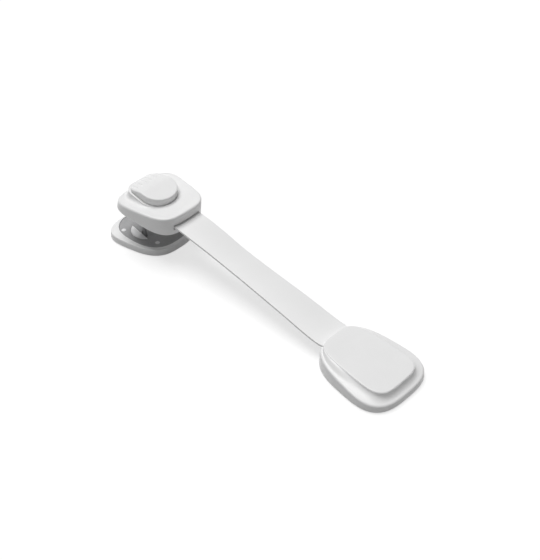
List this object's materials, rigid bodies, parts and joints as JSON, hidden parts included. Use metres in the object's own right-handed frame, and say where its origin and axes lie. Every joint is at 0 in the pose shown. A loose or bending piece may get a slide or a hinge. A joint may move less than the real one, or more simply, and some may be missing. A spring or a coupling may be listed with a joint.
{
  "type": "cabinet safety lock",
  "caption": "Flat-strap cabinet safety lock: adhesive anchor pad, flexible strap and a latch head whose turn dial grips a separate adhesive dock.",
  "frame": {"origin": "middle of the anchor pad's adhesive face, on the panel", "axes": "+X along the strap from the anchor to the head, +Z away from the panel, +Y to the left seen from the anchor"},
  "size_m": [0.2039, 0.0436, 0.036],
  "materials": {
    "white_plastic": "fine satin texture",
    "strap_plastic": "smooth satin",
    "grey_plastic": "satin",
    "dark_plastic": "satin",
    "dark_foam": "matt closed-cell foam",
    "steel": "zinc plated",
    "washer_plastic": "satin",
    "foam_tape": "matt foam",
    "liner_film": "smooth release film"
  },
  "bodies": {
    "anchor": {"anchor_cover": "white_plastic", "anchor_base": "white_plastic", "anchor_screws": "steel", "anchor_tape": "foam_tape", "anchor_liner": "liner_film"},
    "strap": {"strap": "strap_plastic"},
    "head": {"head_cover": "white_plastic", "head_plate": "white_plastic", "head_screws": "steel", "dial_washer": "washer_plastic", "detent_spring": "steel"},
    "dial": {"dial": "white_plastic", "lock_hub": "grey_plastic", "dial_screw": "steel"},
    "dock": {"dock_base": "white_plastic", "dock_keeper": "dark_plastic", "dock_landings": "grey_plastic", "dock_studs": "grey_plastic", "dock_cushion": "dark_foam", "dock_tape": "foam_tape", "dock_liner": "liner_film"}
  },
  "joints": [
    {"name": "strap_flex", "type": "hinge", "parent": "anchor", "child": "strap", "pos_m": [0.028, 0, 0.0092], "axis": [0, -1, 0], "range_deg": [-8.1, 75], "stiffness_Nm_per_rad": 0.25, "springref_deg": 2.75, "deforming": ["strap"]},
    {"name": "head_flex", "type": "hinge", "parent": "strap", "child": "head", "pos_m": [0.1269, 0, 0.02328], "axis": [0, -1, 0], "range_deg": [0, 55], "stiffness_Nm_per_rad": 0.25, "springref_deg": 0.46, "deforming": ["strap"]},
    {"name": "dial_turn", "type": "hinge", "parent": "head", "child": "dial", "pos_m": [0.15438, 0, 0.02254], "axis": [0.1409, 0, -0.99], "range_deg": [0, 28], "deforming": ["detent_spring"]},
    {"name": "dock_slide", "type": "slide", "parent": "anchor", "child": "dock", "axis": [1, 0, 0], "range_m": [0, 0.045]}
  ]
}
